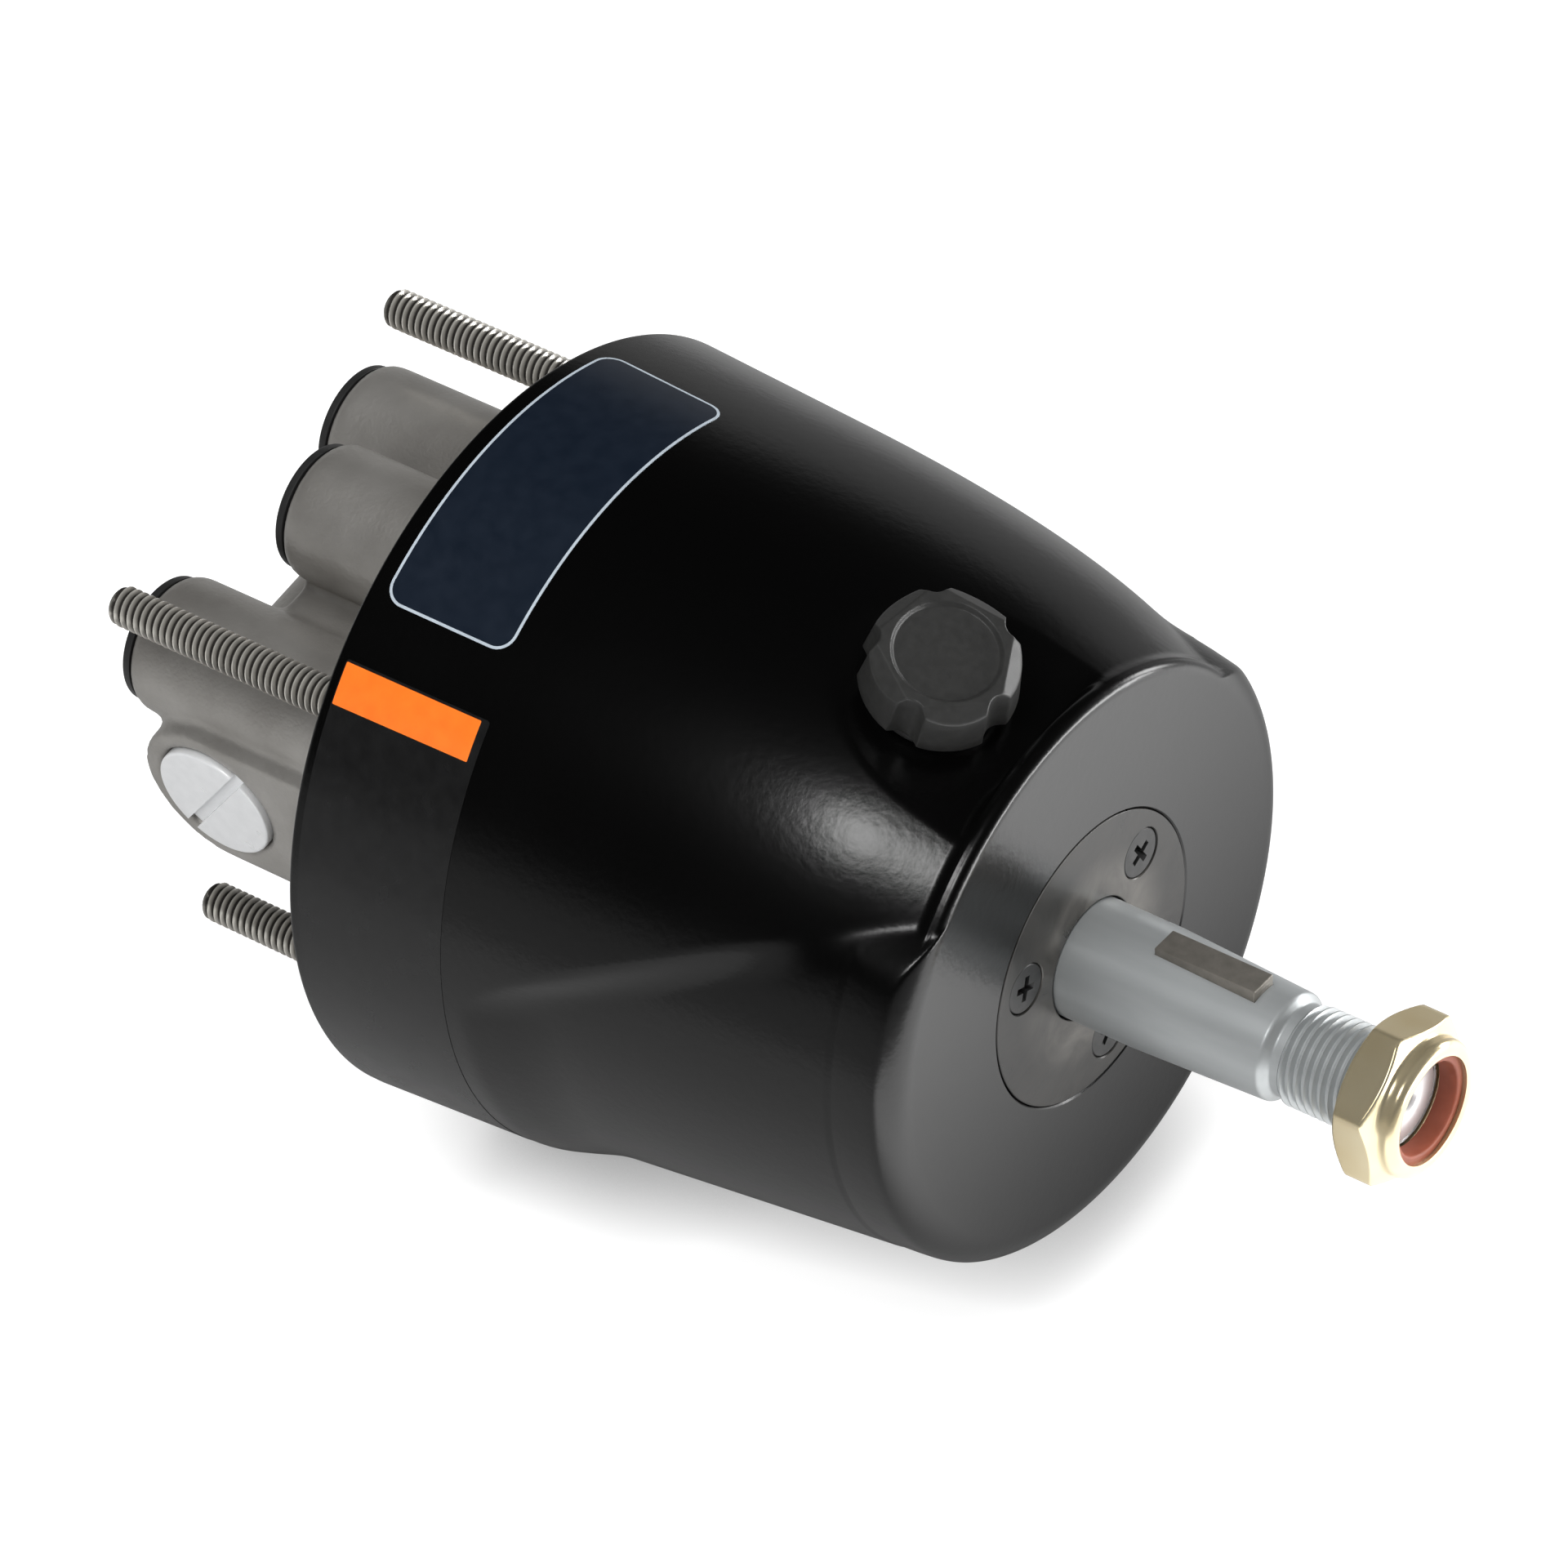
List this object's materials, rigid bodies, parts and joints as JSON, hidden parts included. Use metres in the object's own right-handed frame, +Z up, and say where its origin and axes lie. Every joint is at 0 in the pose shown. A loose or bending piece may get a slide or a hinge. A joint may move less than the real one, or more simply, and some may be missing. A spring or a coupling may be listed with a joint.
{
  "type": "hydraulic helm pump",
  "caption": "Round black helm pump with a tapered hood, lobed filler cap, tapered steering shaft with key and lock nut, mounting studs and a rear casting with plugged ports.",
  "frame": {"origin": "centre of the rear mounting face, on the steering shaft's axis", "axes": "+Y out of the mounting face towards the hoses, so the steering shaft points along -Y; +Z up towards the filler cap; +X to the right seen from the wheel"},
  "size_m": [0.122, 0.2147, 0.1248],
  "materials": {
    "housing_paint": "satin black paint",
    "cast_aluminium": "bare casting",
    "plate_paint": "worn satin black",
    "screw_black": "black oxide",
    "stud_steel": "stainless",
    "bolt_zinc": "zinc plated",
    "seal_rubber": "matt",
    "bearing_steel": "ground",
    "machined_steel": "machined",
    "bronze": "machined",
    "spring_steel": "drawn wire",
    "port_plastic": "moulded",
    "plug_zinc": "bright zinc",
    "shaft_steel": "turned",
    "key_steel": "drawn bar",
    "nut_zinc": "yellow zinc",
    "nut_nylon": "moulded",
    "cap_plastic": "moulded"
  },
  "bodies": {
    "housing": {"front_housing": "housing_paint", "rear_casting": "cast_aluminium", "casting_seal": "seal_rubber", "casting_screws": "bolt_zinc", "mounting_studs": "stud_steel", "retainer_plate": "plate_paint", "retainer_screws": "screw_black", "shaft_seal": "seal_rubber", "bearing_outer_race": "bearing_steel", "bearing_clip": "spring_steel", "swash_plate": "machined_steel", "swash_pins": "machined_steel", "thrust_race": "bearing_steel", "valve_plate": "bronze", "valve_pins": "machined_steel", "port_plug_right": "port_plastic", "port_plug_left": "port_plastic", "port_plug_top": "port_plastic", "valve_plug_right": "plug_zinc", "valve_plug_left": "plug_zinc", "plug_seal_right": "seal_rubber", "plug_seal_left": "seal_rubber", "check_seat_right": "machined_steel", "check_seat_left": "machined_steel", "check_spring_right": "spring_steel", "check_spring_left": "spring_steel"},
    "shaft": {"steering_shaft": "shaft_steel", "shaft_key": "key_steel", "wheel_nut": "nut_zinc", "nut_insert": "nut_nylon", "bearing_inner_race": "bearing_steel", "rotor": "machined_steel", "piston_1": "bearing_steel", "piston_2": "bearing_steel", "piston_3": "bearing_steel", "piston_4": "bearing_steel", "piston_5": "bearing_steel", "piston_6": "bearing_steel", "piston_7": "bearing_steel", "piston_spring_1": "spring_steel", "piston_spring_2": "spring_steel", "piston_spring_3": "spring_steel", "piston_spring_4": "spring_steel", "piston_spring_5": "spring_steel", "piston_spring_6": "spring_steel", "piston_spring_7": "spring_steel"},
    "cage": {"bearing_balls": "bearing_steel", "bearing_cage": "bronze"},
    "filler_ring": {"filler_seal": "seal_rubber"},
    "filler": {"filler_cap": "cap_plastic"},
    "spool": {"lock_spool": "machined_steel"},
    "check_right": {"check_poppet_right": "bronze"},
    "check_left": {"check_poppet_left": "bronze"}
  },
  "joints": [
    {"name": "shaft_spin", "type": "hinge", "parent": "housing", "child": "shaft", "pos_m": [0, 0, 0], "axis": [0, 1, 0], "continuous": true},
    {"name": "cage_spin", "type": "hinge", "parent": "housing", "child": "cage", "pos_m": [0, 0, 0], "axis": [0, 1, 0], "continuous": true},
    {"name": "filler_lift", "type": "slide", "parent": "housing", "child": "filler_ring", "axis": [0, -0.3746, 0.9272], "range_m": [0, 0.008]},
    {"name": "filler_turn", "type": "hinge", "parent": "filler_ring", "child": "filler", "pos_m": [0, -0.083, 0.04907], "axis": [0, -0.3746, 0.9272], "range_deg": [0, 1440]},
    {"name": "spool_slide", "type": "slide", "parent": "housing", "child": "spool", "axis": [1, 0, 0], "range_m": [-0.0012, 0.0012]},
    {"name": "check_right_lift", "type": "slide", "parent": "housing", "child": "check_right", "axis": [1, 0, 0], "range_m": [0, 0.0015], "stiffness_N_per_m": 800, "springref_m": -0.002, "deforming": ["check_spring_right"]},
    {"name": "check_left_lift", "type": "slide", "parent": "housing", "child": "check_left", "axis": [-1, 0, 0], "range_m": [0, 0.0015], "stiffness_N_per_m": 800, "springref_m": -0.002, "deforming": ["check_spring_left"]}
  ],
  "couplings": [
    {"joint": "cage_spin", "follows": "shaft_spin", "ratio": 0.39474},
    {"joint": "filler_turn", "follows": "filler_lift", "rad_per_m": 3141.6}
  ]
}
